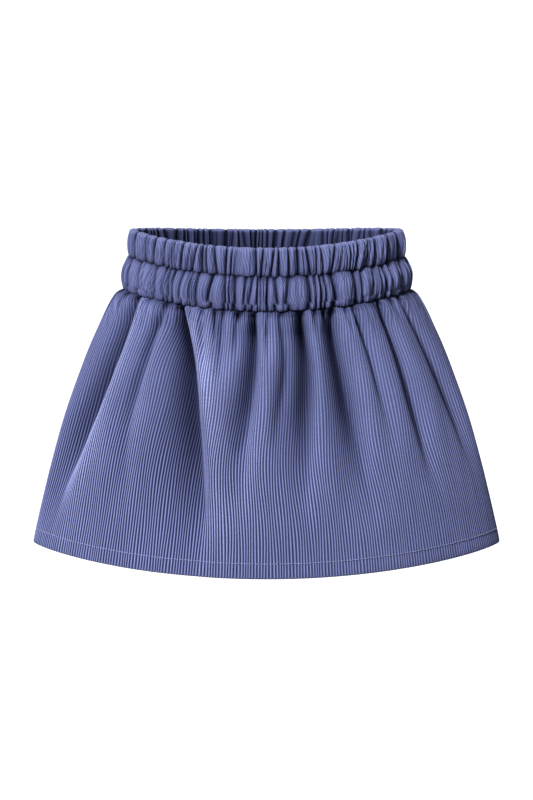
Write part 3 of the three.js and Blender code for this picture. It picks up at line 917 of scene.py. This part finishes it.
def stitch_tree():
    """Geometry nodes that lay a row of stitches along a path with outward directions on it."""
    tree = add_group(
        "Row of stitches", "GeometryNodeTree",
        {"Path": "Geometry", "Stitch Gap Thread Lift": "Float", "Seed": "Int", "Finish": "Material"},
        {"Stitches": "Geometry"})
    given = node(tree, "NodeGroupInput").outputs
    curve = node(tree, "GeometryNodeMeshToCurve", {"Mesh": given["Path"]}).outputs["Curve"]
    pitch = maths(tree, "ADD", given["Stitch"], given["Gap"])
    spaced = node(tree, "GeometryNodeResampleCurve", mode="LENGTH")
    feed(tree, spaced, {"Curve": curve, "Length": pitch})
    half = maths(tree, "MULTIPLY", given["Stitch"], 0.5)
    arc = node(tree, "GeometryNodeCurvePrimitiveBezierSegment", {"Resolution": 6})
    for end, side, sink in (("Start", -1, -0.6), ("Start Handle", -0.6, 1.0),
                            ("End Handle", 0.6, 1.0), ("End", 1, -0.6)):
        place = node(tree, "ShaderNodeCombineXYZ", {
            "X": maths(tree, "MULTIPLY", half, side), "Z": maths(tree, "MULTIPLY", given["Lift"], sink)})
        feed(tree, arc, {end: place.outputs[0]})
    thickness = {"Resolution": 6, "Radius": maths(tree, "MULTIPLY", given["Thread"], 0.5)}
    section = node(tree, "GeometryNodeCurvePrimitiveCircle", thickness)
    thread = node(tree, "GeometryNodeCurveToMesh", {
        "Curve": arc.outputs["Curve"], "Profile Curve": section.outputs["Curve"], "Fill Caps": True})
    tangent = node(tree, "GeometryNodeInputTangent").outputs[0]
    along = node(tree, "FunctionNodeAlignRotationToVector", {"Vector": tangent}, axis="X")
    outward = node(tree, "GeometryNodeInputNamedAttribute", {"Name": "outward"}, data_type="FLOAT_VECTOR")
    upright = node(tree, "FunctionNodeAlignRotationToVector", {
        "Rotation": along.outputs["Rotation"], "Vector": outward.outputs["Attribute"],
    }, axis="Z", pivot_axis="X")
    size = node(tree, "FunctionNodeRandomValue", {
        "Min": (0.9, 0.9, 0.7), "Max": (1.05, 1.15, 1.2), "Seed": given["Seed"],
    }, data_type="FLOAT_VECTOR")
    laid = node(tree, "GeometryNodeInstanceOnPoints", {
        "Points": spaced.outputs["Curve"], "Instance": thread.outputs["Mesh"],
        "Rotation": upright.outputs["Rotation"], "Scale": size.outputs["Value"],
    }).outputs["Instances"]
    real = node(tree, "GeometryNodeRealizeInstances", {"Geometry": laid}).outputs["Geometry"]
    finish = node(tree, "GeometryNodeSetMaterial", {"Geometry": real, "Material": given["Finish"]})
    node(tree, "NodeGroupOutput", {"Stitches": finish.outputs["Geometry"]})
    return tree


def hem_path(folds, seed, sizes, half_turn, inset, lift):
    """The stitching line above the hem, as points and outward directions."""
    drop = HEM_DROP - sizes.hem_stitch / MM
    ribs = RibPaths(Gathers(folds, seed), sizes.wales, seed)
    points, _ = ribs.grid([drop - 1, drop, drop + 1], inset)
    points = np.asarray(points)
    normals = grid_normals(points)[1]
    if inset:
        normals = -normals
    line = points[1] + normals * lift
    if half_turn:
        line, normals = line * (-1, -1, 1), normals * (-1, -1, 1)
    return line[2:-2] * MM, normals[2:-2]


def stitch_row(name, paths, values, tree):
    """Stitches laid along open paths, made plain mesh."""
    mesh = bpy.data.meshes.new(name + "_path")
    points, edges, outward = [], [], []
    for line, normals in paths:
        start = len(points)
        points += line.tolist()
        outward += normals.tolist()
        edges += [(start + i, start + i + 1) for i in range(len(line) - 1)]
    mesh.from_pydata(points, edges, [])
    add_attribute(mesh, "outward", outward)
    path = add_object(name + "_path", mesh)
    layer = path.modifiers.new("stitches", "NODES")
    layer.node_group = tree
    for item in tree.interface.items_tree:
        if item.in_out == "INPUT" and item.name in values:
            layer[item.identifier] = values[item.name]
    drawn = path.evaluated_get(bpy.context.evaluated_depsgraph_get())
    made = bpy.data.meshes.new_from_object(drawn)
    made.name = name
    bpy.data.objects.remove(path)
    return add_object(name, made)


def metres(name, description, default, least=0.0001):
    return FloatProperty(name=name, description=description, default=default, min=least, unit="LENGTH")


def amount(name, description, default):
    return FloatProperty(name=name, description=description, default=default, min=0)


def tint(name, description, red, green, blue):
    return FloatVectorProperty(name=name, description=description, subtype="COLOR", size=4,
                               default=(red, green, blue, 1.0))


class SkirtSizes(bpy.types.PropertyGroup):
    """Sizes of the cloth and its sewing."""

    cloth: metres("Cloth", "Thickness of the corduroy under its ribs", 0.0012)
    hem_depth: metres("Hem", "Depth of the turned-up hem", 0.012, least=0.005)
    hem_stitch: metres("Hem stitch", "Height of the stitching above the hem's fold", 0.010, least=0.004)
    wales: IntProperty(name="Ribs", description="Ribs of corduroy across half the skirt",
                       default=186, min=20)
    wale_height: metres("Rib height", "Height of a rib above its ground", 0.0007)
    stitch: metres("Stitch", "Length of one stitch", 0.0024, least=0.001)
    stitch_gap: metres("Stitch gap", "Cloth showing between stitches", 0.0007)
    thread: metres("Thread", "Thickness of the sewing thread", 0.00045)


class SkirtColours(bpy.types.PropertyGroup):
    """Colours of the cloth and its thread, linear."""

    pile: tint("Pile", "Colour of the ribs", 0.170, 0.198, 0.430)
    # The ground colour is the weave between the ribs, darkened as painted shade in their grooves
    ground: tint("Ground", "Colour between the ribs", 0.016, 0.02, 0.066)
    # Worn is the colour of rubbed pile, also used as a painted highlight on walls turned to the light and
    # on the rim
    worn: tint("Worn", "Colour of rubbed pile", 0.34, 0.37, 0.62)
    backing: tint("Wrong side", "Colour of the plain inner face", 0.10, 0.12, 0.27)
    thread: tint("Thread", "Colour of the hem's stitching", 0.22, 0.25, 0.46)


class SkirtStage(bpy.types.PropertyGroup):
    """Camera, floor and lights. Distances are from the middle of the waist opening."""

    camera_away: metres("Camera away", "Camera's distance in front", 2.4)
    camera_up: metres("Camera up", "Camera's height above the rim", 0.255)
    camera_tilt: FloatProperty(name="Camera tilt", description="How far the camera looks down",
                               default=math.radians(8.7), subtype="ANGLE")
    lens: amount("Lens", "Focal length on a 36 mm tall sensor", 166.5)
    floor_drop: metres("Floor drop", "Depth of the floor under the rim", 0.75)
    floor_half: metres("Floor half", "Half the width of the floor", 60)
    floor: tint("Floor", "Colour of the floor", 0.96, 0.96, 0.97)
    bounce: tint("Bounce", "Light that the floor throws back up", 0.13, 0.13, 0.13)
    key: amount("Key", "Power of the light from the front left", 5.6)
    fill: amount("Fill", "Power of the light from the right", 0.35)
    back: amount("Back", "Power of the light on the back", 1.8)
    ambient: amount("Ambient", "Light from all round", 0.11)


def settings():
    return bpy.context.scene.skirt_sizes, bpy.context.scene.skirt_colours


def cloth_finishes():
    """The ribbed right side and the plain wrong side, made once."""
    _, colours = settings()
    if "corduroy_ribs" in bpy.data.materials:
        return bpy.data.materials["corduroy_ribs"], bpy.data.materials["corduroy_wrong_side"]
    group = corduroy_group()
    ribs = cloth_material(
        "corduroy_ribs", group,
        {"Pile": colours.pile, "Ground": colours.ground, "Worn": colours.worn},
        {"Ribs": 1.0, "Streaks": 0.4, "Recess": 0.95, "Wear": 0.5}, sheen=0.14, bump=0.7)
    plain = cloth_material(
        "corduroy_wrong_side", group,
        {"Pile": colours.backing, "Ground": colours.ground, "Worn": colours.backing},
        {"Ribs": 0.15, "Streaks": 0.2, "Recess": 0.3, "Wear": 0.0}, sheen=0.1, bump=0.25)
    return ribs, plain


def thread_finish():
    _, colours = settings()
    return bpy.data.materials.get("sewing_thread") or thread_material(colours.thread)


# name, node, folds, seed, half turn
PANELS = (
    ("corduroy_front", "front_panel", FRONT_FOLDS, 11, False),
    ("corduroy_back", "back_panel", BACK_FOLDS, 23, True),
)
CASINGS = (
    ("casing_front", "waistband_front", FRONT_FOLDS, 11, False),
    ("casing_back", "waistband_back", BACK_FOLDS, 23, True),
)


class SKIRT_OT_panels(bpy.types.Operator):
    """Make the front and back of the skirt, gathered at the waist and hemmed"""

    bl_idname = "skirt.panels"
    bl_label = "Skirt panels"

    def execute(self, context):
        sizes, _ = settings()
        for name, solid, folds, seed, half_turn in PANELS:
            piece = make_panel(name, folds, seed, sizes, half_turn, cloth_finishes())
            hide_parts(solid)
            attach(piece, "root")
        return {"FINISHED"}


class SKIRT_OT_waistband(bpy.types.Operator):
    """Make both halves of the gathered waistband"""

    bl_idname = "skirt.waistband"
    bl_label = "Waistband"

    def execute(self, context):
        sizes, _ = settings()
        for name, solid, folds, seed, half_turn in CASINGS:
            piece = make_casing(name, folds, seed, sizes, half_turn, cloth_finishes()[:1])
            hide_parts(solid)
            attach(piece, "root")
        return {"FINISHED"}


class SKIRT_OT_stitching(bpy.types.Operator):
    """Sew the hem: one row of stitches, seen outside and inside"""

    bl_idname = "skirt.stitching"
    bl_label = "Hem stitching"

    def execute(self, context):
        sizes, _ = settings()
        tree = stitch_tree()
        values = {
            "Stitch": sizes.stitch, "Gap": sizes.stitch_gap, "Thread": sizes.thread,
            "Lift": sizes.thread * 0.5, "Seed": 5, "Finish": thread_finish(),
        }
        lift = sizes.wale_height / MM * 0.45
        paths = [hem_path(folds, seed, sizes, half_turn, inset, lift)
                 for _, _, folds, seed, half_turn in PANELS
                 for inset in (0, 2 * sizes.cloth / MM)]
        stitches = stitch_row("hem_stitches", paths, values, tree)
        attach(stitches, "root")
        return {"FINISHED"}


class SKIRT_OT_stage(bpy.types.Operator):
    """Set the camera, the pale floor and the soft lights"""

    bl_idname = "skirt.stage"
    bl_label = "Stage"

    def execute(self, context):
        stage = context.scene.skirt_stage
        camera = bpy.data.cameras.new("camera")
        camera.sensor_fit = "VERTICAL"
        camera.sensor_height = 36
        camera.lens = stage.lens
        camera.clip_end = 50
        seen = add_object("camera", camera)
        seen.location = (0, -stage.camera_away, stage.camera_up)
        seen.rotation_euler = (math.pi / 2 - stage.camera_tilt, 0, 0)
        context.scene.camera = seen
        half = stage.floor_half
        mesh = bpy.data.meshes.new("floor")
        corners = [(-half, -half), (half, -half), (half, half), (-half, half)]
        mesh.from_pydata([(x, y, -stage.floor_drop) for x, y in corners], [], [(0, 1, 2, 3)])
        material, tree, paint = add_material("floor")
        looked_at = node(tree, "ShaderNodeLightPath").outputs["Is Camera Ray"]
        lit = mix_colour(tree, looked_at, stage.bounce, stage.floor)
        feed(tree, paint, {"Base Color": lit, "Roughness": 0.9})
        mesh.materials.append(material)
        floor = add_object("floor", mesh)
        # name, direction that its light travels, softness and power of each sun
        for name, travel, softness, power in (
            ("key", (0.40, 0.68, -0.61), 11, stage.key),
            ("fill", (-0.5, 0.8, -0.3), 60, stage.fill),
            ("back", (0.25, -0.85, -0.3), 60, stage.back),
        ):
            light = bpy.data.lights.new(name, "SUN")
            light.angle = math.radians(softness)
            light.energy = power
            lamp = add_object(name, light)
            lamp.rotation_euler = Vector(travel).to_track_quat("-Z", "Y").to_euler()
        world = bpy.data.worlds.new("studio")
        world.use_nodes = True
        sky = world.node_tree
        # The camera sees a white backdrop, and the cloth is lit by the ambient light
        looked_at = node(sky, "ShaderNodeLightPath").outputs["Is Camera Ray"]
        strength = maths(sky, "MULTIPLY_ADD", looked_at, 1 - stage.ambient, stage.ambient)
        feed(sky, sky.nodes["Background"], {"Color": (1, 1, 1, 1), "Strength": strength})
        context.scene.view_settings.view_transform = "Standard"
        context.scene.world = world
        return {"FINISHED"}


class SKIRT_PT_pieces(bpy.types.Panel):
    """Lists the skirt's pieces and their sizes and colours"""

    bl_label = "Corduroy skirt"
    bl_idname = "SKIRT_PT_pieces"
    bl_space_type = "VIEW_3D"
    bl_region_type = "UI"
    bl_category = "Skirt"

    def draw(self, context):
        for group in (context.scene.skirt_sizes, context.scene.skirt_colours, context.scene.skirt_stage):
            for name in group.__annotations__:
                self.layout.prop(group, name)
        for operator in OPERATORS:
            self.layout.operator(operator.bl_idname)


GROUPS = {"skirt_sizes": SkirtSizes, "skirt_colours": SkirtColours, "skirt_stage": SkirtStage}
OPERATORS = (SKIRT_OT_stage, SKIRT_OT_panels, SKIRT_OT_waistband, SKIRT_OT_stitching)


def register():
    for name, group in GROUPS.items():
        bpy.utils.register_class(group)
        setattr(bpy.types.Scene, name, PointerProperty(type=group))
    for made in (*OPERATORS, SKIRT_PT_pieces):
        bpy.utils.register_class(made)


def unregister():
    for made in (*OPERATORS, SKIRT_PT_pieces):
        bpy.utils.unregister_class(made)
    for name, group in GROUPS.items():
        delattr(bpy.types.Scene, name)
        bpy.utils.unregister_class(group)


def main():
    register()
    bpy.ops.skirt.stage()
    bpy.ops.skirt.panels()
    bpy.ops.skirt.waistband()
    bpy.ops.skirt.stitching()


if __name__ == "__main__":
    main()
